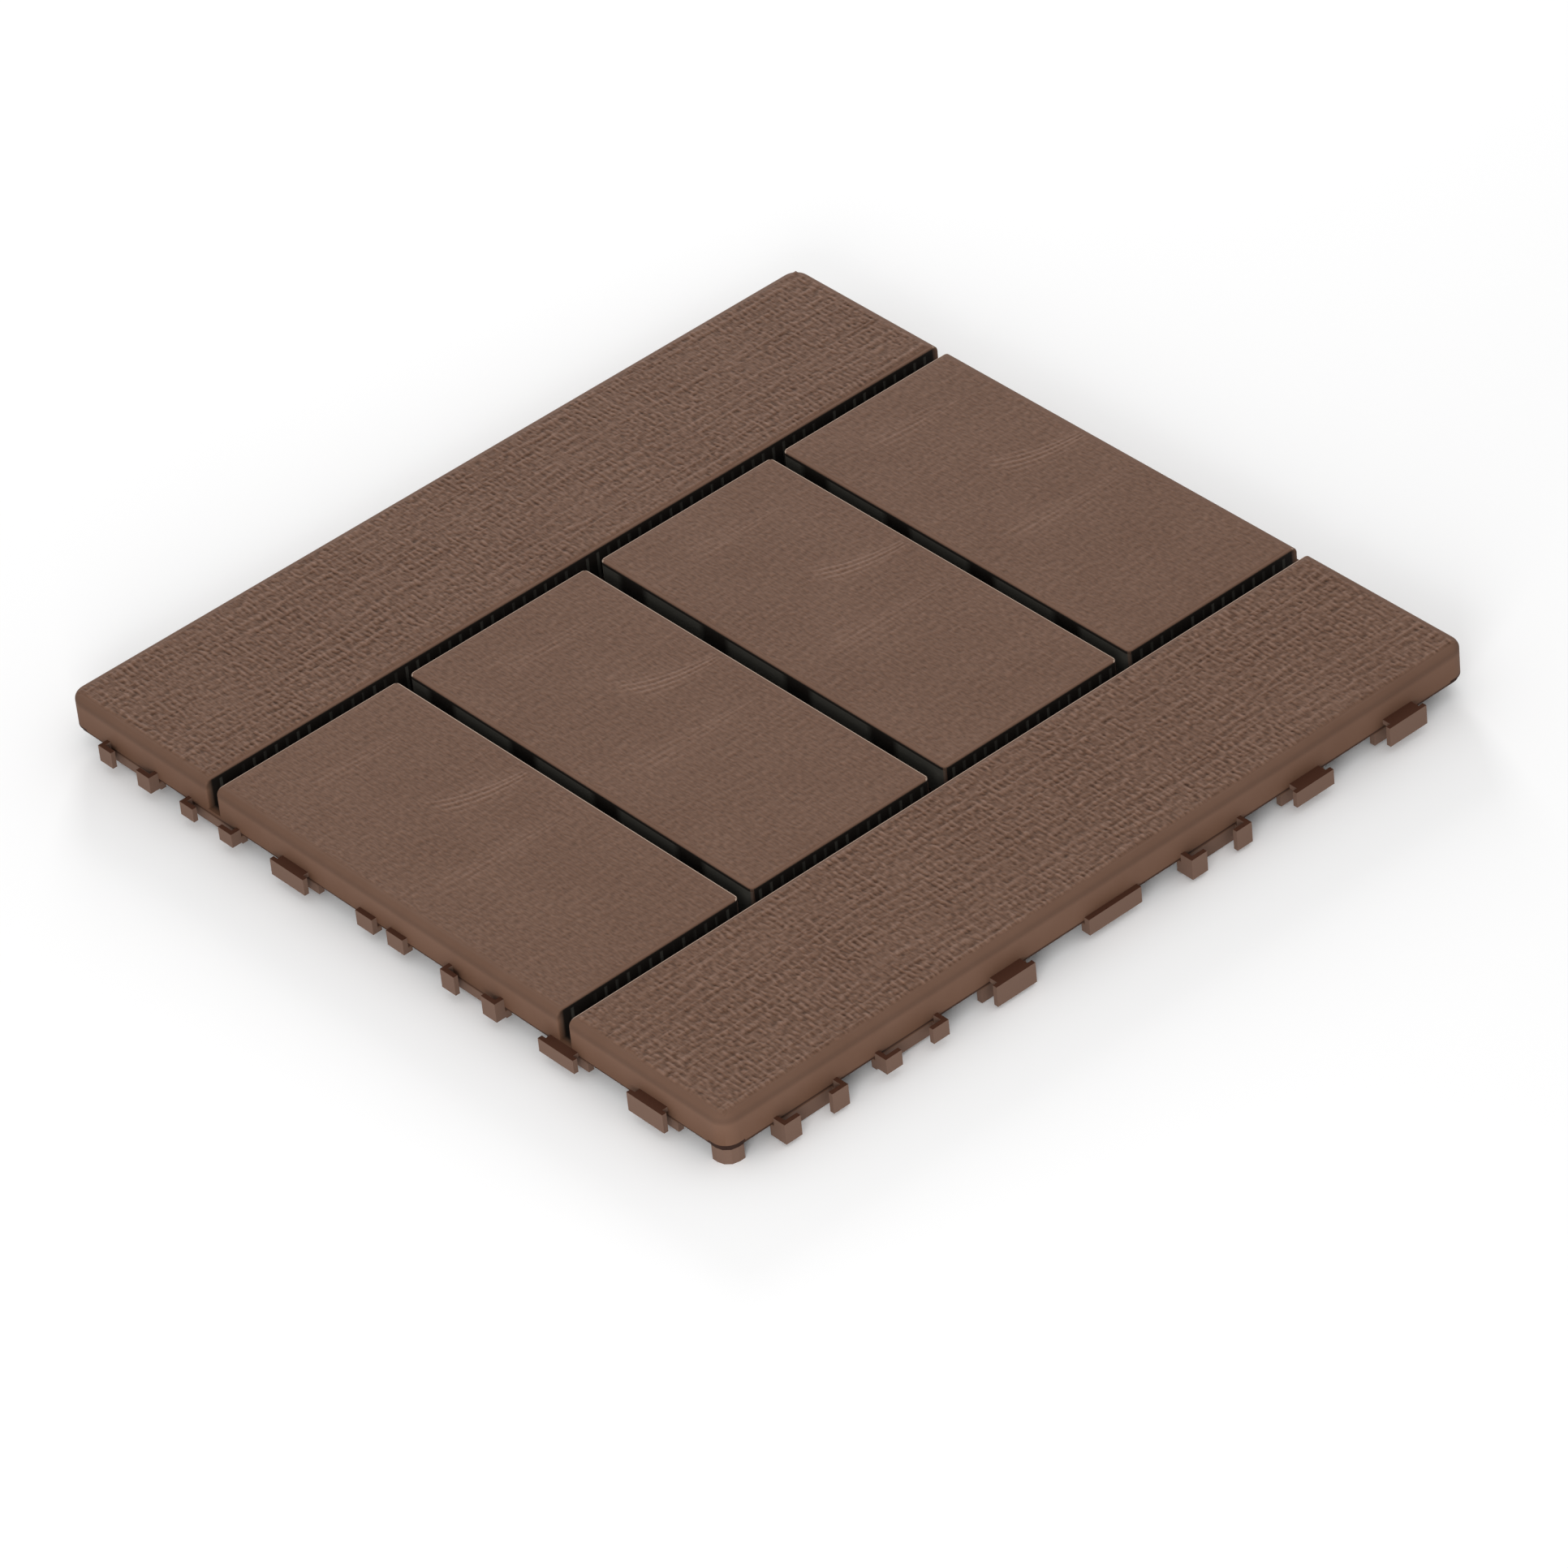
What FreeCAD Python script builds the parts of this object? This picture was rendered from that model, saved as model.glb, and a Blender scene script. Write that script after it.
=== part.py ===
import FreeCAD, Part
import os
import Sketcher

# Interlocking deck tile, a square one-piece moulding that lies on the ground.
# Six plank-like slats stand on an open rib grid. Two long slats lie at the left
# and right, and four short slats lie across between them, with drain gaps
# between all of them. Hooks and pockets under the edge lock tile to tile.
#
# Frame: the origin is the centre of the footprint on the ground. Z is up, the
# long slats run along Y and the short slats along X. Lengths are in millimetres.

doc = FreeCAD.newDocument("DeckTile")
sheet = doc.addObject("Spreadsheet::Sheet", "Sizes")
rows = []


def size(name, value):
    """Write one driving size into the sheet under a plain name."""
    rows.append(name)
    sheet.set("A" + str(len(rows)), name)
    sheet.set("B" + str(len(rows)), str(value))
    sheet.setAlias("B" + str(len(rows)), name)


# Outline and heights
size("tile_side", 300.0)
size("tile_height", 18.5)
size("skirt_bottom", 5.8)
size("foot_band", 1.3)
size("foot_band_inset", 0.7)
size("corner_radius", 5.5)
size("top_edge_round", 2.3)
size("gap_edge_round", 0.6)

# Slats and the drain gaps between them
size("short_slat_length", 156.0)
size("long_gap", 5.1)
size("outer_cross_gap", 4.8)
size("middle_cross_gap", 5.9)
size("gap_floor", 8.3)
size("slat_corner_radius", 1.8)

# Walls, rib grid and ground feet, all seen only from below
size("top_thickness", 2.4)
size("wall", 2.0)
size("rib", 1.5)
size("rib_bottom", 1.5)
size("short_rib_one", 25.3)
size("short_rib_two", 50.6)
size("long_rib_one", 106.0)
size("long_rib_two", 127.0)
size("cross_rib_one", 27.3)
size("cross_rib_two", 49.7)
size("cross_rib_three", 103.2)
size("cross_rib_four", 125.6)
size("rib_end", 142.0)
size("cell_margin", 1.0)
size("foot_side", 8.0)
size("corner_leg", 6.6)
size("corner_leg_inset", 0.9)

# Hooks and pockets: seven spots along an edge, then the shapes they share
size("spot_one", -119.8)
size("spot_two", -80.6)
size("spot_three", -42.0)
size("spot_four", -1.2)
size("spot_five", 41.2)
size("spot_six", 80.2)
size("spot_seven", 119.4)
size("tab_plate", 1.6)
size("pocket_width", 24.6)
size("pocket_front", 6.2)
size("hook_width", 15.5)
size("hook_neck", 12.0)
size("hook_shelf", 1.6)
size("tab_wall_inset", 0.8)
size("hook_wall_extra", 1.2)
size("twin_block", 7.5)
size("twin_gap", 6.6)
size("single_block", 21.1)

# First kind of edge, on the -Y and -X sides
size("one_reach", 3.6)
size("one_bottom", 3.4)
size("one_tall_top", 9.3)
size("one_high_top", 10.2)
size("one_wall_bottom", 2.0)
size("twin_reach", 1.9)
size("twin_bottom", 3.6)
size("twin_top", 9.1)

# Second kind of edge, on the +X and +Y sides
size("two_reach", 4.8)
size("two_low_bottom", 1.3)
size("two_low_top", 8.5)
size("two_high_bottom", 2.9)
size("two_high_tall_top", 9.7)
size("two_low_wall_bottom", 0.3)
size("two_high_wall_bottom", 1.1)
size("single_reach", 2.0)
size("single_bottom", 2.4)
size("single_top", 8.1)
doc.recompute()

body = None
origin = {}


def start_body(name):
    """Open a new body that the helpers below add their features to."""
    global body, origin
    body = doc.addObject("PartDesign::Body", name)
    body.AllowCompound = True
    origin = {item.Role: item for item in body.Origin.OriginFeatures}
    doc.recompute()


def number(expression):
    """Value of an expression over the sheet, as a plain number."""
    return float(sheet.evalExpression(expression))


def sketch_at(name, height):
    """New sketch in a level plane at a height that follows the sheet."""
    sketch = body.newObject("Sketcher::SketchObject", name)
    sketch.AttachmentSupport = (origin["XY_Plane"], [""])
    sketch.MapMode = "FlatFace"
    sketch.setExpression("AttachmentOffset.Base.z", height)
    doc.recompute()
    return sketch


def outline(sketch, points):
    """Closed outline of level and upright lines through the given corners.

    Each corner is a pair of expressions. Every corner is tied to the sheet by
    its two distances from the origin.
    """
    place = [FreeCAD.Vector(number(x), number(y), 0) for x, y in points]
    first = sketch.GeometryCount
    count = len(points)
    for k in range(count):
        sketch.addGeometry(Part.LineSegment(place[k], place[(k + 1) % count]), False)
    for k in range(count):
        line = first + k
        after = first + (k + 1) % count
        sketch.addConstraint(Sketcher.Constraint("Coincident", line, 2, after, 1))
    for k in range(count):
        for axis, value, text in (("DistanceX", place[k].x, points[k][0]), ("DistanceY", place[k].y, points[k][1])):
            index = sketch.addConstraint(Sketcher.Constraint(axis, -1, 1, first + k, 1, value))
            sketch.setExpression("Constraints[" + str(index) + "]", text)


def rectangle(sketch, left, right, near, far):
    """Closed rectangle between two X and two Y expressions."""
    outline(sketch, [(left, near), (right, near), (right, far), (left, far)])


def pad(name, sketch, length):
    """Grow the sketch upwards by a length that follows the sheet."""
    feature = body.newObject("PartDesign::Pad", name)
    feature.Profile = sketch
    feature.setExpression("Length", length)
    sketch.Visibility = False
    doc.recompute()
    return feature


def pocket(name, sketch, length, upwards):
    """Cut the sketch away, upwards or downwards from its plane."""
    feature = body.newObject("PartDesign::Pocket", name)
    feature.Profile = sketch
    feature.setExpression("Length", length)
    feature.Reversed = upwards
    sketch.Visibility = False
    doc.recompute()
    return feature


def upright_edges(shape, spots):
    """Names of the straight upright edges that stand on the given X, Y spots."""
    names = []
    for k, edge in enumerate(shape.Edges):
        ends = [vertex.Point for vertex in edge.Vertexes]
        if len(ends) == 2 and (ends[0] - ends[1]).cross(FreeCAD.Vector(0, 0, 1)).Length < 1e-4:
            for x, y in spots:
                if abs(ends[0].x - x) < 0.01 and abs(ends[0].y - y) < 0.01:
                    names.append("Edge" + str(k + 1))
    return names


def fillet(name, base, edges, radius):
    """Round the named edges with a radius that follows the sheet."""
    feature = body.newObject("PartDesign::Fillet", name)
    feature.Base = (base, edges)
    feature.setExpression("Radius", radius)
    doc.recompute()
    return feature


half = "Sizes.tile_side / 2"
rib_half = "Sizes.rib / 2"

start_body("SlatPlate")

# The foot band: the thin recessed strip along the foot of the skirt
band = half + " - Sizes.foot_band_inset"
band_sketch = sketch_at("FootBandSketch", "Sizes.skirt_bottom")
rectangle(band_sketch, "-(" + band + ")", band, "-(" + band + ")", band)
foot_band = pad("FootBand", band_sketch, "Sizes.foot_band + 1")
reach = number(band)
corners = upright_edges(foot_band.Shape, [(-reach, -reach), (reach, -reach), (reach, reach), (-reach, reach)])
fillet("FootBandRound", foot_band, corners, "Sizes.corner_radius - Sizes.foot_band_inset")

# The plate: a solid square that carries the slats, above the foot band
plate_sketch = sketch_at("PlateSketch", "Sizes.skirt_bottom + Sizes.foot_band")
rectangle(plate_sketch, "-" + half, half, "-" + half, half)
plate = pad("Plate", plate_sketch, "Sizes.tile_height - Sizes.skirt_bottom - Sizes.foot_band")
reach = number(half)
corners = upright_edges(plate.Shape, [(-reach, -reach), (reach, -reach), (reach, reach), (-reach, reach)])
corner_round = fillet("CornerRound", plate, corners, "Sizes.corner_radius")

# Rounded top edge all round the outline
top = number("Sizes.tile_height")
top_edges = []
for k, edge in enumerate(corner_round.Shape.Edges):
    box = edge.BoundBox
    if box.ZMin > top - 0.001:
        top_edges.append("Edge" + str(k + 1))
top_round = fillet("TopEdgeRound", corner_round, top_edges, "Sizes.top_edge_round")

# Trays: each slat is hollow below, with a wall round it and a thin top
slat_end = "Sizes.short_slat_length / 2"
long_inner = slat_end + " + Sizes.long_gap"
slat_width = "(Sizes.tile_side - 2 * Sizes.outer_cross_gap - Sizes.middle_cross_gap) / 4"
inner_near = "Sizes.middle_cross_gap / 2"
inner_far = inner_near + " + " + slat_width
outer_near = inner_far + " + Sizes.outer_cross_gap"
wall = "Sizes.wall"
tray_sketch = sketch_at("TraySketch", "Sizes.skirt_bottom")
deep = half + " - " + wall
rectangle(tray_sketch, "-(" + deep + ")", "-(" + long_inner + " + " + wall + ")", "-(" + deep + ")", deep)
rectangle(tray_sketch, long_inner + " + " + wall, deep, "-(" + deep + ")", deep)
tray_x = slat_end + " - " + wall
for near, far in ((inner_near + " + " + wall, inner_far + " - " + wall), (outer_near + " + " + wall, deep)):
    rectangle(tray_sketch, "-(" + tray_x + ")", tray_x, near, far)
    rectangle(tray_sketch, "-(" + tray_x + ")", tray_x, "-(" + far + ")", "-(" + near + ")")
pocket("Trays", tray_sketch, "Sizes.tile_height - Sizes.skirt_bottom - Sizes.top_thickness", True)

gap_depth = "Sizes.tile_height - Sizes.gap_floor + 1"


def cut_gaps(name):
    """Two long drain gaps, open at both ends, and three cross gaps between them."""
    plan = sketch_at(name + "LongSketch", "Sizes.gap_floor")
    far_end = half + " + 1"
    rectangle(plan, slat_end, long_inner, "-(" + far_end + ")", far_end)
    rectangle(plan, "-(" + long_inner + ")", "-(" + slat_end + ")", "-(" + far_end + ")", far_end)
    pocket(name + "Long", plan, gap_depth, True)
    plan = sketch_at(name + "CrossSketch", "Sizes.gap_floor")
    past = slat_end + " + 1"
    rectangle(plan, "-(" + past + ")", past, "-(" + inner_near + ")", inner_near)
    rectangle(plan, "-(" + past + ")", past, inner_far, outer_near)
    rectangle(plan, "-(" + past + ")", past, "-(" + outer_near + ")", "-(" + inner_far + ")")
    return pocket(name + "Cross", plan, gap_depth, True)


# Drain gaps through the slats
gaps = cut_gaps("Gaps")

# Small round on the upright corners of the short slats, inside the tile
end = number(slat_end)
lines = [number(inner_near), number(inner_far), number(outer_near)]
spots = [(x, y * side) for x in (-end, end) for y in lines for side in (-1, 1)]
slat_round = fillet("SlatCornerRound", gaps, upright_edges(gaps.Shape, spots), "Sizes.slat_corner_radius")

# Fine round along the top edges of every gap, carried down at the open ends
edges = []
inner = number(long_inner)
for k, edge in enumerate(slat_round.Shape.Edges):
    box = edge.BoundBox
    if box.ZMin > top - 0.001 and box.DiagonalLength > 20:
        level_x = box.XMax - box.XMin < 0.001 and min(abs(abs(box.XMin) - end), abs(abs(box.XMin) - inner)) < 0.01
        level_y = box.YMax - box.YMin < 0.001 and min(abs(abs(box.YMin) - line) for line in lines) < 0.01
        if level_x or level_y:
            edges.append("Edge" + str(k + 1))
gap_round = fillet("GapEdgeRound", slat_round, edges, "Sizes.gap_edge_round")

# Drain cells: below the gaps the plate is open between the ribs that bridge them
cells = sketch_at("DrainCellSketch", "Sizes.skirt_bottom - 1")
edge_of = rib_half + " + Sizes.cell_margin"
for near, far in (("-Sizes.cross_rib_one", "Sizes.cross_rib_one"), ("Sizes.cross_rib_one", "Sizes.cross_rib_two"),
                  ("Sizes.cross_rib_two", "Sizes.cross_rib_three"), ("Sizes.cross_rib_three", "Sizes.cross_rib_four"),
                  ("-Sizes.cross_rib_two", "-Sizes.cross_rib_one"), ("-Sizes.cross_rib_three", "-Sizes.cross_rib_two"),
                  ("-Sizes.cross_rib_four", "-Sizes.cross_rib_three")):
    low = near + " + " + edge_of
    high = far + " - (" + edge_of + ")"
    rectangle(cells, slat_end, long_inner, low, high)
    rectangle(cells, "-(" + long_inner + ")", "-(" + slat_end + ")", low, high)
pocket("LongGapCells", cells, "Sizes.gap_floor - Sizes.skirt_bottom + 2", True)
cells = sketch_at("CrossCellSketch", "Sizes.skirt_bottom - 1")
cross_cells = []
for near, far in (("0", "Sizes.short_rib_one"), ("Sizes.short_rib_one", "Sizes.short_rib_two")):
    cross_cells.append((near + " + " + edge_of, far + " - (" + edge_of + ")"))
cross_cells.append(("Sizes.short_rib_two + " + edge_of, slat_end + " - Sizes.slat_corner_radius - Sizes.cell_margin"))
for low, high in cross_cells:
    for south, north in (("-(" + inner_near + ")", inner_near), (inner_far, outer_near),
                         ("-(" + outer_near + ")", "-(" + inner_far + ")")):
        rectangle(cells, low, high, south, north)
        rectangle(cells, "-(" + high + ")", "-(" + low + ")", south, north)
pocket("CrossGapCells", cells, "Sizes.gap_floor - Sizes.skirt_bottom + 2", True)

start_body("RibGrid")

# Rib grid: straight ribs both ways, carried down below the skirt, well inside it
rib_height = "Sizes.tile_height - Sizes.top_thickness - Sizes.rib_bottom + 0.5"
along_y = sketch_at("RibsAlongYSketch", "Sizes.rib_bottom")
places = ["Sizes.short_rib_one", "Sizes.short_rib_two", "Sizes.long_rib_one", "Sizes.long_rib_two"]
rectangle(along_y, "-" + rib_half, rib_half, "-Sizes.rib_end", "Sizes.rib_end")
for place in places:
    low = place + " - " + rib_half
    high = place + " + " + rib_half
    rectangle(along_y, low, high, "-Sizes.rib_end", "Sizes.rib_end")
    rectangle(along_y, "-(" + high + ")", "-(" + low + ")", "-Sizes.rib_end", "Sizes.rib_end")
pad("RibsAlongY", along_y, rib_height)

along_x = sketch_at("RibsAlongXSketch", "Sizes.rib_bottom")
cross = ["Sizes.cross_rib_one", "Sizes.cross_rib_two", "Sizes.cross_rib_three", "Sizes.cross_rib_four"]
for place in cross:
    low = place + " - " + rib_half
    high = place + " + " + rib_half
    rectangle(along_x, "-Sizes.rib_end", "Sizes.rib_end", low, high)
    rectangle(along_x, "-Sizes.rib_end", "Sizes.rib_end", "-(" + high + ")", "-(" + low + ")")
# Short ribs under the long slats alone, in line with the three cross gaps
gap_line = inner_far + " + Sizes.outer_cross_gap / 2"
rib_from = long_inner + " + Sizes.wall / 2"
for middle in ("0", gap_line, "-(" + gap_line + ")"):
    low = middle + " - " + rib_half
    high = middle + " + " + rib_half
    rectangle(along_x, rib_from, "Sizes.rib_end", low, high)
    rectangle(along_x, "-Sizes.rib_end", "-(" + rib_from + ")", low, high)
pad("RibsAlongX", along_x, rib_height)

# The ribs stay low where they bridge the gaps
cut_gaps("Bridges")

# Ground feet under the rib grid
feet = sketch_at("FootSketch", "0")
foot = "Sizes.foot_side / 2"
foot_rows = ["Sizes.cross_rib_two", "Sizes.cross_rib_four", "-Sizes.cross_rib_two", "-Sizes.cross_rib_four"]
for x in ("0", "Sizes.short_rib_two", "Sizes.long_rib_two", "-Sizes.short_rib_two", "-Sizes.long_rib_two"):
    for y in foot_rows:
        rectangle(feet, x + " - " + foot, x + " + " + foot, y + " - " + foot, y + " + " + foot)
pad("Feet", feet, "Sizes.rib_bottom + 2")
# A leg under the front right and the back left corner, set back under the skirt
legs = sketch_at("CornerLegSketch", "0")
leg_out = half + " - Sizes.corner_leg_inset"
leg_in = leg_out + " - Sizes.corner_leg"
leg_round = "(Sizes.corner_radius - Sizes.corner_leg_inset)"
for sx, sy in (("", "-"), ("-", "")):
    points = [(leg_in, leg_in), (leg_out, leg_in)]
    for angle in ("0", "30", "60", "90"):
        along = leg_out + " - " + leg_round + " * (1 - cos(" + angle + "))"
        across = leg_out + " - " + leg_round + " * (1 - sin(" + angle + "))"
        points.append((along, across))
    points.append((leg_in, leg_out))
    outline(legs, [(sx + "(" + x + ")", sy + "(" + y + ")") for x, y in points])
pad("CornerLegs", legs, "Sizes.skirt_bottom + 1")


start_body("EdgeTabs")


def turned(side, points):
    """Corners given as along and outward, laid on the -Y or the +X side."""
    if side == "near":
        return [(along, "-(" + out + ")") for along, out in points]
    return [(out, along) for along, out in points]


def block(sketch, side, low, high, inside, outside):
    """Rectangle on one side of the tile, from along and outward limits."""
    outline(sketch, turned(side, [(low, inside), (high, inside), (high, outside), (low, outside)]))


def pocket_arms(sketch, side, centre, reach):
    """Two mirrored L-shaped brackets that make one pocket, open above."""
    outside = half + " + " + reach
    inside = half + " - Sizes.tab_wall_inset - 1"
    back = outside + " - Sizes.tab_plate"
    for sign in (" - ", " + "):
        back_sign = " + " if sign == " - " else " - "
        edge = centre + sign + "Sizes.pocket_width / 2"
        arm = edge + back_sign + "Sizes.tab_plate"
        front = edge + back_sign + "Sizes.pocket_front"
        points = [(edge, inside), (edge, outside), (front, outside), (front, back), (arm, back), (arm, inside)]
        outline(sketch, turned(side, points))


def hook_plate(sketch, side, centre, reach):
    """Hanging outer plate of a hook."""
    outside = half + " + " + reach
    low = centre + " - Sizes.hook_width / 2"
    high = centre + " + Sizes.hook_width / 2"
    block(sketch, side, low, high, outside + " - Sizes.tab_plate", outside)


def hook_neck(sketch, side, centre, reach):
    """Level shelf that joins a hook's plate to the skirt."""
    low = centre + " - Sizes.hook_neck / 2"
    high = centre + " + Sizes.hook_neck / 2"
    block(sketch, side, low, high, half + " - 1", half + " + " + reach + " - Sizes.tab_plate / 2")


def backing(sketch, side, centre, width):
    """Wall below the skirt behind one hook or pocket."""
    low = centre + " - (" + width + ") / 2"
    high = centre + " + (" + width + ") / 2"
    outside = half + " - Sizes.tab_wall_inset"
    block(sketch, side, low, high, outside + " - Sizes.wall", outside)


# Spots of the first kind of edge. The second kind has them in opposite order and
# with opposite sign, so that each hook meets a pocket of the next tile.
spots = ["Sizes.spot_" + word for word in ("one", "two", "three", "four", "five", "six", "seven")]
facing = ["-" + spot for spot in reversed(spots)]


def tab_set(name, side, reach, pockets, hooks, low, high):
    """Pads for a few pockets and hooks that share their lower and upper level."""
    plan = sketch_at(name + "Sketch", low)
    for centre in pockets:
        pocket_arms(plan, side, centre, reach)
    for centre in hooks:
        hook_plate(plan, side, centre, reach)
    made = [pad(name, plan, high + " - " + low)]
    if hooks:
        plan = sketch_at(name + "NeckSketch", high + " - Sizes.hook_shelf")
        for centre in hooks:
            hook_neck(plan, side, centre, reach)
        made.append(pad(name + "Neck", plan, "Sizes.hook_shelf"))
    return made


def wall_set(name, side, pockets, hooks, low):
    """Pad for the walls behind a few pockets and hooks."""
    plan = sketch_at(name + "Sketch", low)
    for centre in pockets:
        backing(plan, side, centre, "Sizes.pocket_width - Sizes.tab_plate")
    for centre in hooks:
        backing(plan, side, centre, "Sizes.hook_width + 2 * Sizes.hook_wall_extra")
    return [pad(name, plan, "Sizes.skirt_bottom + Sizes.foot_band - " + low)]


def second_side(name, features, backwards):
    """Repeat one side's hooks and pockets a quarter turn round the tile."""
    turn = body.newObject("PartDesign::PolarPattern", name)
    turn.Originals = features
    turn.Axis = (origin["Z_Axis"], [""])
    turn.Angle = 90
    turn.Occurrences = 2
    turn.Reversed = backwards
    body.Tip = turn
    doc.recompute()
    return turn


# First kind of edge: drawn on the -Y side and repeated on the -X side
one, two, three, four, five, six, seven = spots
near = wall_set("OneWalls", "near", [one, two, five], [three, six, seven], "Sizes.one_wall_bottom")
near += tab_set("OneTall", "near", "Sizes.one_reach", [one], [three], "Sizes.one_bottom", "Sizes.one_tall_top")
near += tab_set("OneHigh", "near", "Sizes.one_reach", [five], [seven], "Sizes.one_bottom", "Sizes.one_high_top")
near += tab_set("OneShort", "near", "Sizes.one_reach", [two], [six], "Sizes.one_bottom", "Sizes.gap_floor")
twins = sketch_at("TwinBlockSketch", "Sizes.twin_bottom")
twin_in = "Sizes.twin_gap / 2"
twin_out = twin_in + " + Sizes.twin_block"
for low, high in (("-(" + twin_out + ")", "-(" + twin_in + ")"), (twin_in, twin_out)):
    block(twins, "near", four + " + " + low, four + " + " + high, half + " - 1.5", half + " + Sizes.twin_reach")
near.append(pad("TwinBlocks", twins, "Sizes.twin_top - Sizes.twin_bottom"))
second_side("OneSecondSide", near, True)

# Second kind of edge: drawn on the +X side and repeated on the +Y side
one, two, three, four, five, six, seven = facing
right = wall_set("TwoLowWalls", "right", [one, five], [three], "Sizes.two_low_wall_bottom")
right += wall_set("TwoHighWalls", "right", [two], [six, seven], "Sizes.two_high_wall_bottom")
right += tab_set("TwoLow", "right", "Sizes.two_reach", [one, five], [three], "Sizes.two_low_bottom",
                 "Sizes.two_low_top")
right += tab_set("TwoHighShort", "right", "Sizes.two_reach", [two], [six], "Sizes.two_high_bottom",
                 "Sizes.gap_floor")
right += tab_set("TwoHighTall", "right", "Sizes.two_reach", [], [seven], "Sizes.two_high_bottom",
                 "Sizes.two_high_tall_top")
single = sketch_at("SingleBlockSketch", "Sizes.single_bottom")
low = four + " - Sizes.single_block / 2"
high = four + " + Sizes.single_block / 2"
block(single, "right", low, high, half + " - 1.5", half + " + Sizes.single_reach")
right.append(pad("SingleBlock", single, "Sizes.single_top - Sizes.single_bottom"))
second_side("TwoSecondSide", right, False)

# The moulding is one piece: plate, ribs and edge tabs grown together
tile = doc.addObject("Part::MultiFuse", "Tile")
tile.Shapes = [doc.getObject(name) for name in ("SlatPlate", "RibGrid", "EdgeTabs")]
tile.Refine = True
tile.Label = "deck_tile"
doc.recompute()
for item in doc.Objects:
    if "Invalid" in item.State or "Error" in item.State:
        raise ValueError(item.Name + " did not build")
    shape = getattr(item, "Shape", None)
    if item.TypeId != "Sketcher::SketchObject" and shape and (shape.isNull() or not shape.isValid()):
        raise ValueError(item.Name + " has no sound shape")
if len(tile.Shape.Solids) != 1:
    raise ValueError("the tile is not one solid")

os.makedirs("parts", exist_ok=True)
tile.Shape.exportStep("parts/deck_tile.step")
box = tile.Shape.BoundBox
print("volume cm3", round(tile.Shape.Volume / 1000, 1), "size", round(box.XLength, 2), round(box.YLength, 2),
      round(box.ZLength, 2), "faces", len(tile.Shape.Faces))
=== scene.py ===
"""Looks of an interlocking deck tile: a matte brown moulding with wood grain embossed on its slats.

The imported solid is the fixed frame. Six thin closed skins lie on its slat tops
and carry the raised grain. Lengths are in metres where Blender takes them, and
in millimetres in every named size, formula and shader pattern.
"""
import math

import bpy
import numpy as np
from mathutils import Matrix, Vector


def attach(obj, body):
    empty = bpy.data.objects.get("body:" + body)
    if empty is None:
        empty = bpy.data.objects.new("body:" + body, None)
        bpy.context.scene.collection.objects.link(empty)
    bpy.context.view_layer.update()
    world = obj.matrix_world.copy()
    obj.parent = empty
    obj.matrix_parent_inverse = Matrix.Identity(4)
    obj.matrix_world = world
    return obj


MM = 0.001
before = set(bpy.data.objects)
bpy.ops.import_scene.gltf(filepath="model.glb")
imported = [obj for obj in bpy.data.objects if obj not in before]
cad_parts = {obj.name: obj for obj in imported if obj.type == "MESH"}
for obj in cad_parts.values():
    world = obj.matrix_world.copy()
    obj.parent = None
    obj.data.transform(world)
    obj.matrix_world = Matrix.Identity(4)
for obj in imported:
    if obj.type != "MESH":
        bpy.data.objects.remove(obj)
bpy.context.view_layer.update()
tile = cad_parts["deck_tile"]

# Sizes of the tile in mm, as in the solid: the slats' top, half a side, the short slats' ends
# and the long slats' inner sides, the short slats' spans along y, and the gaps between them
TOP = 18.5
HALF = 150.0
SHORT_END = 78.0
LONG_INNER = 83.1
CROSS = [(-150.0, -78.875), (-74.075, -2.95), (2.95, 74.075), (78.875, 150.0)]
CROSS_GAP, CROSS_GAP_HALF = 76.475, 2.4
MIDDLE_GAP_HALF = 2.95
LONG_GAP, LONG_GAP_HALF = (SHORT_END + LONG_INNER) / 2, (LONG_INNER - SHORT_END) / 2

# Places that the paint goes by, in mm: the slats' eased edges, where the long gaps open at their
# ends, how far the cross gaps go across, the skirt's foot and rounded top, the legs, the pitch of
# the hooks, and just outside the skirt
EASE = 0.65
OPEN_FROM, OPEN_TO = 147.3, 149.2
CROSS_END = 81.0
FOOT, FOOT_TOP = 5.7, 7.2
SKIRT_LOW, SKIRT_HIGH = 7.0, 14.5
ROUNDED = 16.7
LEG_TOP = FOOT - 0.4
LEG_INNER = 142.5
TAB_PITCH = 40.0
BEYOND_SKIRT = HALF + 0.03

# Patterns of the material in mm: the cloud of tone, the strokes, the mould's texture, and the
# ribs and bays on the walls of the gaps
CLOUD = 22.2
STROKE_LONG, STROKE_WIDE = 2.4, 0.67
TEXTURE = 0.625
RIB_PITCH = 4.3
BAY_PITCH = 37.8

# Grain: the pitch of the rungs and the grid of the skins in mm, fine enough for them, and the
# reach in grid steps over which the grain is levelled
RUNG_PITCH = 1.93
GRID = 0.45
LEVEL_STEPS = 4

# Skins in mm: how far they stay inside a slat's outer edges and inside its edges at a gap, how
# far down they reach, their plain border, their lift off the slat, and how far their rim sinks
OUTER_INSET = 2.2
INNER_INSET = 0.9
SKIN_DEPTH = 0.9
BORDER = 1.1
LIFT = 0.02
SINK = 0.03

# Colours as sRGB hex: the moulding's two browns; painted shade for the gap walls and a paler grey within
# it; a painted highlight for slat edges; a painted shadow line for the skirt's foot; the hooks' faces
# painted paler as lit and their tops painted dark as shade
BROWN_LIGHT = "#6b5041"
BROWN_DARK = "#674c3d"
GAP_SHADE = "#140f0b"
GAP_BAY = "#403e39"
EDGE_HIGHLIGHT = "#b09a8a"
FOOT_SHADOW = "#2e1c15"
TAB_FACE_LIT = "#6a5347"
TAB_TOP_SHADE = "#472a1d"

# How far painted light and shade on the grain change the tone: crest to mean, and a stroke's swing
RELIEF_SHADING = 0.5
STROKE_TONE = 0.9
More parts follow.
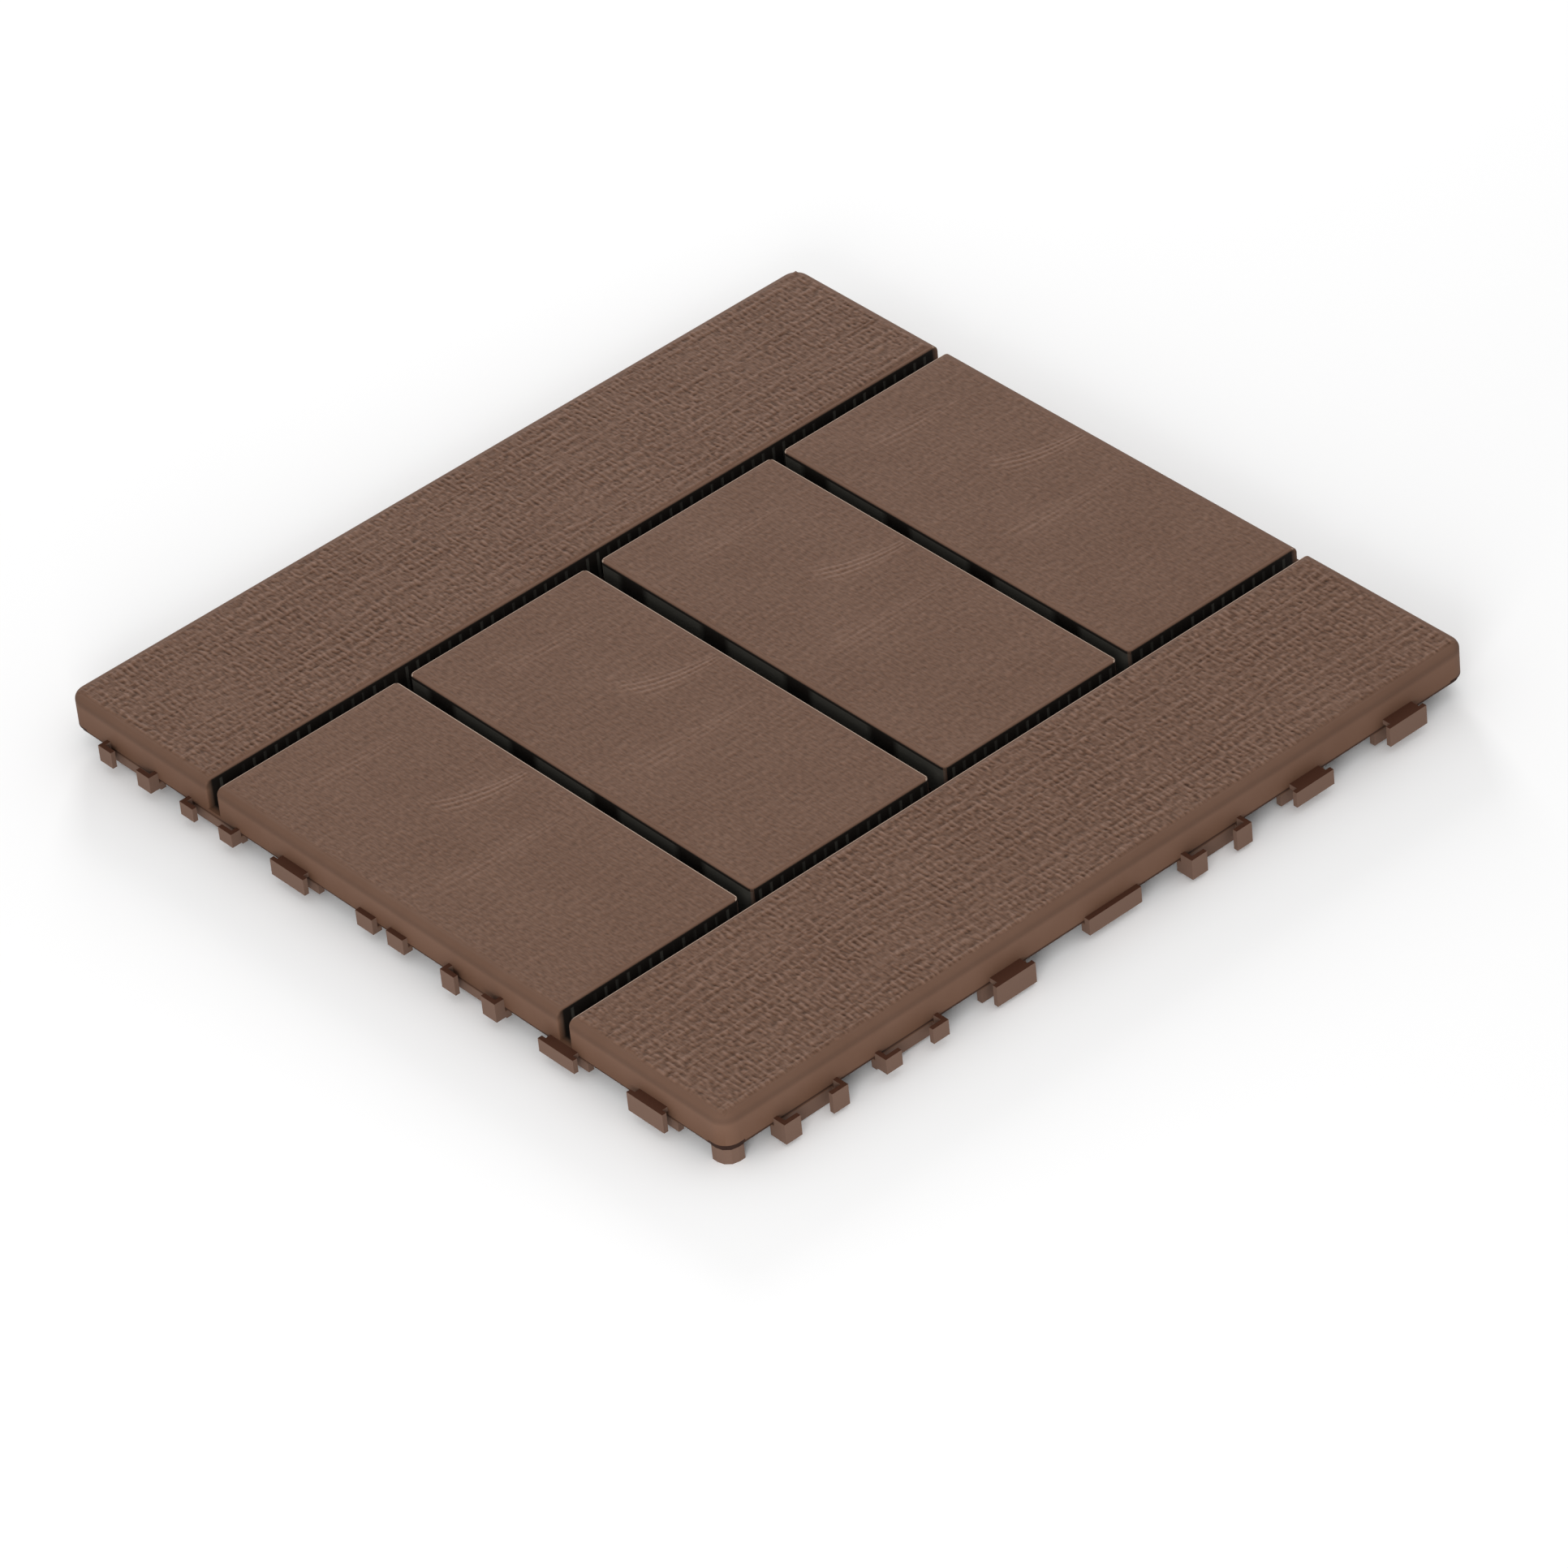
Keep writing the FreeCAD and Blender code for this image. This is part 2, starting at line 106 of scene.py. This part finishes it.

# Two grains: heights in mm of long fibres, short fibres, rungs and grit,
# and how strong the relief and the strokes are in the tone, as painted light and shade
COARSE = {"heights": (0.22, 0.1, 0.34, 0.12), "relief": 1.0, "stroke": 1.1}
FINE = {"heights": (0.05, 0.05, 0.06, 0.05), "relief": 0.38, "stroke": 0.85}


def linear(code):
    """Linear colour of an sRGB hex value."""
    parts = [int(code[k:k + 2], 16) / 255 for k in (1, 3, 5)]
    return [c / 12.92 if c <= 0.04045 else ((c + 0.055) / 1.055) ** 2.4 for c in parts] + [1.0]


def smooth(t):
    """Smooth step: 3t^2 - 2t^3 for t held between 0 and 1."""
    t = np.clip(t, 0.0, 1.0)
    return t * t * (3 - 2 * t)


def noise(x, y, cell_x, cell_y, seed):
    """Value noise from -1 to 1.

    Random heights stand on a lattice of cell_x by cell_y mm and are joined by smooth steps.
    """
    rng = np.random.default_rng(seed)
    u, v = x / cell_x, y / cell_y
    u, v = u - u.min(), v - v.min()
    i, j = np.floor(u).astype(int), np.floor(v).astype(int)
    lattice = rng.uniform(-1, 1, (i.max() + 2, j.max() + 2))
    a, b = smooth(u - i), smooth(v - j)
    low = lattice[i, j] * (1 - a) + lattice[i + 1, j] * a
    high = lattice[i, j + 1] * (1 - a) + lattice[i + 1, j + 1] * a
    return low * (1 - b) + high * b


def add(tree, kind, settings=None, *values, **named):
    """Add one shader node with its settings and links.

    Settings are a dict of properties, or one word for the operation. Values fill the
    sockets in use in their order, and named values by their names. A value is a plain
    number or colour, a socket, or a node, whose first output in use is then linked.
    """
    node = tree.nodes.new("ShaderNode" + kind)
    if isinstance(settings, str):
        settings = {"operation": settings}
    for key, value in (settings or {}).items():
        setattr(node, key, value)
    in_use = [socket for socket in node.inputs if socket.enabled]
    pairs = list(zip(in_use, values))
    pairs += [(node.inputs[key.replace("_", " ")], value) for key, value in named.items()]
    for socket, value in pairs:
        if isinstance(value, bpy.types.Node):
            value = next(output for output in value.outputs if output.enabled)
        if isinstance(value, bpy.types.NodeSocket):
            tree.links.new(value, socket)
        else:
            socket.default_value = value
    return node


def polypropylene(name):
    """Injection-moulded polypropylene, pigmented brown.

    To the eye it is matte with a soft sheen, nearly even in colour, with a slow
    cloudy change of tone and a very fine spark-eroded texture from the mould.
    Painted highlight and painted shade make the raised grain paler on its crests than in its valleys.
    Painted shade darkens the gaps, the skirt's foot and the hooks' tops, and painted highlights pale
    some edges.
    """
    made = bpy.data.materials.new(name)
    made.use_nodes = True
    tree = made.node_tree
    tree.nodes.clear()
    colour = {"data_type": "RGBA"}
    coordinates = add(tree, "TexCoord")
    place = add(tree, "VectorMath", "SCALE", coordinates.outputs["Object"], Scale=1 / MM)
    split = add(tree, "SeparateXYZ", None, place)
    x, y, high = split.outputs["X"], split.outputs["Y"], split.outputs["Z"]
    across = add(tree, "Math", "ABSOLUTE", x)
    along = add(tree, "Math", "ABSOLUTE", y)
    turn = add(tree, "SeparateXYZ", None, coordinates.outputs["Normal"])

    # Slow cloud of tone
    cloud = add(tree, "TexNoise", None, Vector=place, Scale=1 / CLOUD, Detail=3.0, Roughness=0.6)
    tone = add(tree, "MapRange", None, cloud, From_Min=0.35, From_Max=0.65)
    brown = add(tree, "Mix", colour, tone, linear(BROWN_DARK), linear(BROWN_LIGHT))

    # The skins' attribute relief gives the grain's crests and valleys, from -1 to 1, and their
    # attribute stroke says how strong the short strokes are, which are finer than the skins'
    # grid can carry. Both change the tone as painted light and shade: paler crests and strokes are
    # painted highlight, darker valleys and strokes painted shade
    relief = add(tree, "Attribute", {"attribute_name": "relief"}).outputs["Fac"]
    amount = add(tree, "Attribute", {"attribute_name": "stroke"}).outputs["Fac"]
    drawn = add(tree, "VectorMath", "MULTIPLY", place, (1 / STROKE_LONG, 1 / STROKE_WIDE, 0.001))
    drawn = add(tree, "TexNoise", None, Vector=drawn, Scale=1.0, Detail=1.0, Roughness=0.4)
    stroke = add(tree, "Math", "MULTIPLY", add(tree, "Math", "SUBTRACT", drawn, 0.5), amount)
    relief_light_and_shade = add(tree, "Math", "MULTIPLY_ADD", relief, RELIEF_SHADING, 1.0)
    relief_light_and_shade = add(tree, "Math", "MULTIPLY_ADD", stroke, STROKE_TONE, relief_light_and_shade)
    fade = add(tree, "Math", "MULTIPLY_ADD", relief, -0.12, 1.0)
    grain_lit_and_shaded = add(tree, "HueSaturation", None, Color=brown, Value=relief_light_and_shade, Saturation=fade)

    # Bump of the mould's fine texture and of the strokes. The real texture is taken to be
    # about 0.1 mm, and is drawn coarser so that it shows
    fine = add(tree, "TexNoise", None, Vector=place, Scale=1 / TEXTURE, Detail=2.0, Roughness=0.5)
    bump = add(tree, "Bump", None, Height=fine, Strength=0.25, Distance=0.08 * MM)
    bump = add(tree, "Bump", None, Height=stroke, Strength=0.8, Distance=0.4 * MM, Normal=bump)

    # Where the drain gaps are, with the eased edges beside them. The long gaps fade out at their
    # open ends, and the cross gaps go as far as the middle of the long ones
    in_long = add(tree, "Math", "ABSOLUTE", add(tree, "Math", "SUBTRACT", across, LONG_GAP))
    in_long = add(tree, "Math", "LESS_THAN", in_long, LONG_GAP_HALF + EASE)
    inside = add(tree, "MapRange", None, along, From_Min=OPEN_FROM, From_Max=OPEN_TO,
                 To_Min=1.0, To_Max=0.0)
    in_long = add(tree, "Math", "MULTIPLY", in_long, inside)
    in_middle = add(tree, "Math", "LESS_THAN", along, MIDDLE_GAP_HALF + EASE)
    in_outer = add(tree, "Math", "ABSOLUTE", add(tree, "Math", "SUBTRACT", along, CROSS_GAP))
    in_outer = add(tree, "Math", "LESS_THAN", in_outer, CROSS_GAP_HALF + EASE)
    in_cross = add(tree, "Math", "MAXIMUM", in_middle, in_outer)
    in_cross = add(tree, "Math", "MULTIPLY", in_cross, add(tree, "Math", "LESS_THAN", across, CROSS_END))
    in_gap = add(tree, "Math", "MAXIMUM", in_long, in_cross)

    # Their walls are painted dark as shade
    depth = add(tree, "MapRange", None, high, From_Min=TOP - 0.6, From_Max=TOP - 0.12,
                To_Min=1.0, To_Max=0.0)
    shade = add(tree, "Math", "MULTIPLY", in_gap, depth)

    # Thin uneven upright ribs on the long gaps' walls, painted as paler streaks in the painted shade
    ribs = add(tree, "Math", "GREATER_THAN", add(tree, "Math", "PINGPONG", y, RIB_PITCH / 2), 1.6)
    uneven = add(tree, "TexNoise", {"noise_dimensions": "1D"}, W=y, Scale=0.26, Detail=1.0)
    uneven = add(tree, "MapRange", None, uneven, From_Min=0.32, From_Max=0.6, To_Max=0.8)
    ribs = add(tree, "Math", "MULTIPLY", ribs, add(tree, "Math", "MULTIPLY", in_long, uneven))
    ribs = add(tree, "Math", "MULTIPLY", ribs, add(tree, "Math", "LESS_THAN", high, TOP - 1.6))

    # Wide paler bays along the cross gaps, where the painted shade is lighter
    bays = add(tree, "Math", "SINE", add(tree, "Math", "MULTIPLY_ADD", x, 2 * math.pi / BAY_PITCH, 2.6))
    bays = add(tree, "MapRange", None, bays, From_Min=-0.75, From_Max=-0.35)
    bays = add(tree, "Math", "MULTIPLY", bays, add(tree, "Math", "LESS_THAN", high, TOP - 1.4))
    bays = add(tree, "Math", "MULTIPLY", bays, in_cross)
    paler = add(tree, "Math", "MAXIMUM", ribs, bays)
    wall = add(tree, "Mix", colour, paler, linear(GAP_SHADE), linear(GAP_BAY))
    gap_shade_and_edge_light = add(tree, "Mix", colour, shade, grain_lit_and_shaded, wall)

    # Painted highlight: a pale thin edge on the +Y and -X sides of each slat beside the gaps. Painted
    # light on the upright corners in the gaps partly lifts the painted shade there
    leftward = add(tree, "Math", "MULTIPLY", turn.outputs["X"], -1.0)
    turned = add(tree, "Math", "MAXIMUM", turn.outputs["Y"], leftward)
    edge = add(tree, "Math", "GREATER_THAN", turned, 0.12)
    edge = add(tree, "Math", "MULTIPLY", edge, add(tree, "Math", "GREATER_THAN", high, TOP - 0.45))
    edge = add(tree, "Math", "MULTIPLY", edge, in_gap)
    gap_shade_and_edge_light = add(tree, "Mix", colour, edge, gap_shade_and_edge_light, linear(EDGE_HIGHLIGHT))
    upright = add(tree, "Math", "MINIMUM", add(tree, "Math", "ABSOLUTE", turn.outputs["X"]),
                  add(tree, "Math", "ABSOLUTE", turn.outputs["Y"]))
    upright = add(tree, "Math", "GREATER_THAN", upright, 0.45)
    upright = add(tree, "Math", "MULTIPLY", upright, add(tree, "Math", "MULTIPLY", in_gap, 0.4))
    gap_shade_and_edge_light = add(tree, "Mix", colour, upright, gap_shade_and_edge_light, grain_lit_and_shaded)

    # Painted shade: the skirt darkens a little towards its foot, more so above each hook or pocket and
    # on the
    # -Y and +Y sides, and again along its rounded top
    sideways = add(tree, "Math", "GREATER_THAN", across, along)
    run = add(tree, "Mix", {"data_type": "FLOAT"}, sideways, x, y)
    near = add(tree, "Math", "COSINE", add(tree, "Math", "MULTIPLY", run, 2 * math.pi / TAB_PITCH))
    near = add(tree, "MapRange", None, near, From_Min=0.1, From_Max=1.0, To_Min=0.18, To_Max=0.35)
    near = add(tree, "Math", "MULTIPLY_ADD", sideways, -0.08, near)
    lower = add(tree, "MapRange", None, high, From_Min=SKIRT_LOW, From_Max=SKIRT_HIGH,
                To_Min=1.0, To_Max=0.0)
    lower = add(tree, "Math", "MULTIPLY", lower, near)
    band = add(tree, "Math", "ABSOLUTE", add(tree, "Math", "SUBTRACT", high, ROUNDED))
    band = add(tree, "MapRange", None, band, From_Min=0.4, From_Max=1.8, To_Min=0.75, To_Max=1.0)
    value = add(tree, "Math", "MULTIPLY", add(tree, "Math", "SUBTRACT", 1.0, lower), band)
    fuller = add(tree, "Math", "MULTIPLY_ADD", lower, 0.4, 1.0)
    skirt_shaded = add(tree, "HueSaturation", None, Color=gap_shade_and_edge_light, Value=value, Saturation=fuller)

    # Painted shadow: a dark line along the recessed foot of the skirt, thickest above the legs
    foot = add(tree, "Math", "MULTIPLY", add(tree, "Math", "LESS_THAN", high, FOOT_TOP),
               add(tree, "Math", "GREATER_THAN", high, FOOT))
    legs = add(tree, "Math", "GREATER_THAN", add(tree, "Math", "MINIMUM", across, along), LEG_INNER)
    above = add(tree, "Math", "MULTIPLY", add(tree, "Math", "LESS_THAN", high, FOOT_TOP + 0.5),
                add(tree, "Math", "GREATER_THAN", high, LEG_TOP))
    above = add(tree, "Math", "MULTIPLY", above, legs)
    foot = add(tree, "Math", "MAXIMUM", add(tree, "Math", "MULTIPLY", foot, 0.75), above)
    shaded = add(tree, "Mix", colour, foot, skirt_shaded, linear(FOOT_SHADOW))

    # Hooks, pockets and legs: faces painted a little paler as lit, level tops painted dark as shade
    beyond = add(tree, "Math", "MAXIMUM", across, along)
    beyond = add(tree, "Math", "GREATER_THAN", beyond, BEYOND_SKIRT)
    beyond = add(tree, "Math", "MAXIMUM", beyond, add(tree, "Math", "LESS_THAN", high, LEG_TOP))
    facing_up = add(tree, "Math", "GREATER_THAN", turn.outputs["Z"], 0.7)
    tab_lit_and_shaded = add(tree, "Mix", colour, facing_up, linear(TAB_FACE_LIT), linear(TAB_TOP_SHADE))
    whole = add(tree, "Mix", colour, beyond, shaded, tab_lit_and_shaded)

    # Roughness and a low specular level give the soft sheen, without a clear highlight
    plastic = add(tree, "BsdfPrincipled", None, Base_Color=whole, Roughness=0.75, IOR=1.49,
                  Specular_IOR_Level=0.15, Normal=bump)
    add(tree, "OutputMaterial", None, plastic)
    return made


BROWN = polypropylene("Moulded polypropylene")
tile.data.materials.clear()
tile.data.materials.append(BROWN)


def levelled(height, reach):
    """Height less its mean over a square of 2 * reach + 1 samples, so no broad hump is left."""
    mean = height
    width = 2 * reach + 1
    for axis in (0, 1):
        wide = [(reach + 1, reach) if k == axis else (0, 0) for k in (0, 1)]
        total = np.cumsum(np.pad(mean, wide, mode="edge"), axis)
        start = np.arange(mean.shape[axis])
        mean = (total.take(start + width, axis) - total.take(start, axis)) / width
    return height - mean


def flame(x, y, at_x, at_y, tall, drift):
    """Flame figure of the wood: a few lines side by side that fan out from (at_x, at_y) towards -y.

    With t = (at_y - y) / tall and d = x - at_x + drift * (0.3 t + 0.7 t^3) the height is
    exp(-(d / (1.5 + 4 t))^2) * cos^4(pi d / (1.3 + 1.5 t)), faded out at t = 0 and t = 1.15.
    """
    t = np.clip((at_y - y) / tall, 0, 1.2)
    d = x - at_x + drift * (0.3 * t + 0.7 * t ** 3)
    lines = np.cos(np.pi * d / (1.3 + 1.5 * t)) ** 4 * np.exp(-(d / (1.5 + 4 * t)) ** 2)
    return lines * smooth(t / 0.06) * smooth((1.15 - t) / 0.3)


def grain(x, y, heights, knots, seed):
    """Raised wood grain in mm.

    Fibres run along y: each is a crest c = (1 - |n|)^p, where n is noise drawn
    out along y, and their place across is bent by slow noise and by each knot,
    x' = x + bend * exp(-r^2). Rungs run across at their pitch, wander and
    break up. Grit is fine noise the same in all directions.
    """
    line, fibre, rung, grit = heights
    bent = x + 1.0 * noise(x, y, 16, 40, seed) + 0.3 * noise(x, y, 5, 12, seed + 1)
    for at_x, at_y, wide, tall, bend in knots:
        u, v = (x - at_x) / wide, (y - at_y) / tall
        bent = bent + bend * np.exp(-(u * u + v * v))
    slow = (1 - np.abs(noise(bent, y, 2.6, 70, seed + 2))) ** 8
    quick = (1 - np.abs(noise(bent, y, 1.3, 6, seed + 3))) ** 3
    phase = y + 0.4 * noise(x, y, 2.6, 4.5, seed + 5) + 0.5 * noise(x, y, 24, 24, seed + 6)
    wave = (0.5 + 0.5 * np.cos(2 * np.pi * phase / RUNG_PITCH)) ** 1.6
    broken = smooth(0.55 + 0.9 * noise(x, y, 1.7, 2.2, seed + 7))
    patches = smooth(0.75 + 0.5 * noise(x, y, 10, 14, seed + 8))
    rungs = wave * broken * patches
    height = line * slow + fibre * quick + rung * rungs + grit * noise(x, y, 0.9, 0.9, seed + 9)
    return levelled(height, LEVEL_STEPS)


def skin(name, x_low, x_high, y_low, y_high, kind, seed, knots=(), flames=()):
    """Closed thin skin over one slat top, with the grain and its flames raised on it.

    Its top is z = TOP + m * (LIFT + raised) - SINK * (1 - m), where raised is the grain and
    each flame times its strength, moved so that the lowest point is 0. m rises smoothly from 0
    at the rim to 1 over the plain border, whose width wavers, so the rim lies just inside the
    solid. The sides go straight down to a flat face. The attribute relief is raised less its
    mean, over 2.2 times its deviation, and the attribute stroke is m times the kind's own.
    """
    nx = int(round((x_high - x_low) / GRID)) + 1
    ny = int(round((y_high - y_low) / GRID)) + 1
    x, y = np.meshgrid(np.linspace(x_low, x_high, nx), np.linspace(y_low, y_high, ny), indexing="ij")
    rim = np.minimum(np.minimum(x - x_low, x_high - x), np.minimum(y - y_low, y_high - y))
    m = smooth(rim / BORDER + 0.2 * noise(x, y, 6, 6, seed + 19) * (rim > 0.3))
    raised = grain(x, y, kind["heights"], knots, seed)
    for strength, *figure in flames:
        raised = raised + strength * flame(x, y, *figure)
    raised = raised - raised.min()
    z = TOP + m * (LIFT + raised) - SINK * (1 - m)
    top = np.stack([x, y, z], -1).reshape(-1, 3)
    index = np.arange(nx * ny).reshape(nx, ny)
    quads = np.stack([index[:-1, :-1], index[1:, :-1], index[1:, 1:], index[:-1, 1:]], -1)
    quads = quads.reshape(-1, 4)
    ring = np.concatenate([index[:-1, 0], index[-1, :-1], index[:0:-1, -1], index[0, :0:-1]])
    low = top[ring].copy()
    low[:, 2] = TOP - SKIN_DEPTH
    lows = nx * ny + np.arange(len(ring))
    sides = np.stack([lows, np.roll(lows, -1), np.roll(ring, -1), ring], -1)
    points = np.concatenate([top, low]) * MM
    faces = np.concatenate([quads, sides])
    mesh = bpy.data.meshes.new(name)
    mesh.vertices.add(len(points))
    mesh.vertices.foreach_set("co", points.ravel())
    loops = np.concatenate([faces.ravel(), lows[::-1]])
    starts = np.concatenate([np.arange(len(faces)) * 4, [len(faces) * 4]])
    mesh.loops.add(len(loops))
    mesh.loops.foreach_set("vertex_index", loops)
    mesh.polygons.add(len(starts))
    mesh.polygons.foreach_set("loop_start", starts)
    mesh.update(calc_edges=True)
    mesh.validate()
    spread = m * (raised - raised.mean()) / (2.2 * raised.std()) * kind["relief"]
    for attribute, values in (("relief", np.clip(spread, -1, 1)), ("stroke", m * kind["stroke"])):
        values = np.concatenate([values.ravel(), np.zeros(len(ring))])
        mesh.attributes.new(attribute, "FLOAT", "POINT").data.foreach_set("value", values)
    mesh.shade_smooth()
    mesh.materials.append(BROWN)
    made = bpy.data.objects.new(name, mesh)
    bpy.context.scene.collection.objects.link(made)
    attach(made, "root")


# The two long slats. A knot is its x and y, its half width and half height, and its bend, in mm
near, far = -HALF + OUTER_INSET, HALF - OUTER_INSET
inner = LONG_INNER + INNER_INSET
skin("grain_left", near, -inner, near, far, COARSE, 11,
     knots=[(-118, 40, 16, 40, 4), (-112, -90, 14, 30, -4)])
skin("grain_right", inner, far, near, far, COARSE, 43,
     knots=[(122, -68, 14, 22, 6), (110, 60, 14, 40, -4)])

# The four short slats. A flame is its height, its x and y, its length and its drift, in mm
end = SHORT_END - INNER_INSET
for k, (low, high) in enumerate(CROSS):
    middle = (low + high) / 2
    first = low + (OUTER_INSET if k == 0 else INNER_INSET)
    last = high - (OUTER_INSET if k == len(CROSS) - 1 else INNER_INSET)
    skin(f"grain_short_{k + 1}", -end, end, first, last, FINE, 75 + 20 * k, flames=[
        (0.24, -13.5, high - 2.0, 30, 8),
        (0.1, 10.5, middle + 27, 46, 1),
        (0.1, -56, middle + 20, 34, 2),
    ])

# Camera: the photograph's view, found from the slat edges, with a long lens and a little roll
AZIMUTH, ELEVATION, ROLL = 51.613, 37.776, -6.061
FOCAL_PX, DISTANCE, AIM_X, AIM_Y = 10719.2, 2577.1, 47.839, -34.064
PICTURE_PX = 1932
SENSOR = 36
a, e, r = math.radians(AZIMUTH), math.radians(ELEVATION), math.radians(ROLL)
back = Vector((math.sin(a) * math.cos(e), -math.cos(a) * math.cos(e), math.sin(e)))
level = Vector((math.cos(a), math.sin(a), 0))
rise = back.cross(level)
right = math.cos(r) * level + math.sin(r) * rise
up = -math.sin(r) * level + math.cos(r) * rise
eye = (Vector((AIM_X, AIM_Y, TOP)) + back * DISTANCE) * MM
optics = bpy.data.cameras.new("camera")
optics.sensor_width = SENSOR
optics.lens = FOCAL_PX * SENSOR / PICTURE_PX
optics.clip_start, optics.clip_end = 0.1, 50
camera = bpy.data.objects.new("camera", optics)
camera.matrix_world = Matrix((right, up, back)).transposed().to_4x4()
camera.location = eye
bpy.context.scene.collection.objects.link(camera)
bpy.context.scene.camera = camera

# Floor: a plain sheet 16 m wide
reach = 8
corners = [(-reach, -reach, 0), (reach, -reach, 0), (reach, reach, 0), (-reach, reach, 0)]
floor_mesh = bpy.data.meshes.new("floor")
floor_mesh.from_pydata(corners, [], [(0, 1, 2, 3)])
floor = bpy.data.objects.new("floor", floor_mesh)
bpy.context.scene.collection.objects.link(floor)
floor_look = bpy.data.materials.new("Matte white paper floor")
floor_look.use_nodes = True
tree = floor_look.node_tree
tree.nodes.clear()
add(tree, "OutputMaterial", None, add(tree, "BsdfDiffuse", None, (0.97, 0.97, 0.97, 1.0)))
floor_mesh.materials.append(floor_look)

# World: an even dome, and plain white wherever the camera, a gloss or a clear piece sees it
world = bpy.data.worlds.new("studio")
bpy.context.scene.world = world
world.use_nodes = True
tree = world.node_tree
tree.nodes.clear()
dome = add(tree, "Background", None, Color=(1, 1, 1, 1), Strength=0.78)
white = add(tree, "Background", None, Color=(1, 1, 1, 1), Strength=1.0)
ray = add(tree, "LightPath")
seen = add(tree, "Math", "MAXIMUM", ray.outputs["Is Camera Ray"], ray.outputs["Is Glossy Ray"])
seen = add(tree, "Math", "MAXIMUM", seen, ray.outputs["Is Transmission Ray"])
add(tree, "OutputWorld", None, add(tree, "MixShader", None, seen, dome, white))


def lamp(name, azimuth, elevation, distance, side, power):
    """Square soft lamp that looks at the tile from an azimuth and an elevation, in metres and watts."""
    data = bpy.data.lights.new(name, "AREA")
    data.size = side
    data.energy = power
    made = bpy.data.objects.new(name, data)
    a, e = math.radians(azimuth), math.radians(elevation)
    away = Vector((math.sin(a) * math.cos(e), -math.cos(a) * math.cos(e), math.sin(e)))
    made.location = away * distance
    made.rotation_mode = "QUATERNION"
    made.rotation_quaternion = away.to_track_quat("Z", "Y")
    bpy.context.scene.collection.objects.link(made)


lamp("key", 40, 18, 1.6, 0.7, 12.0)
lamp("rim", 235, 17, 1.6, 0.4, 10.0)

bpy.context.scene.view_settings.view_transform = "Standard"
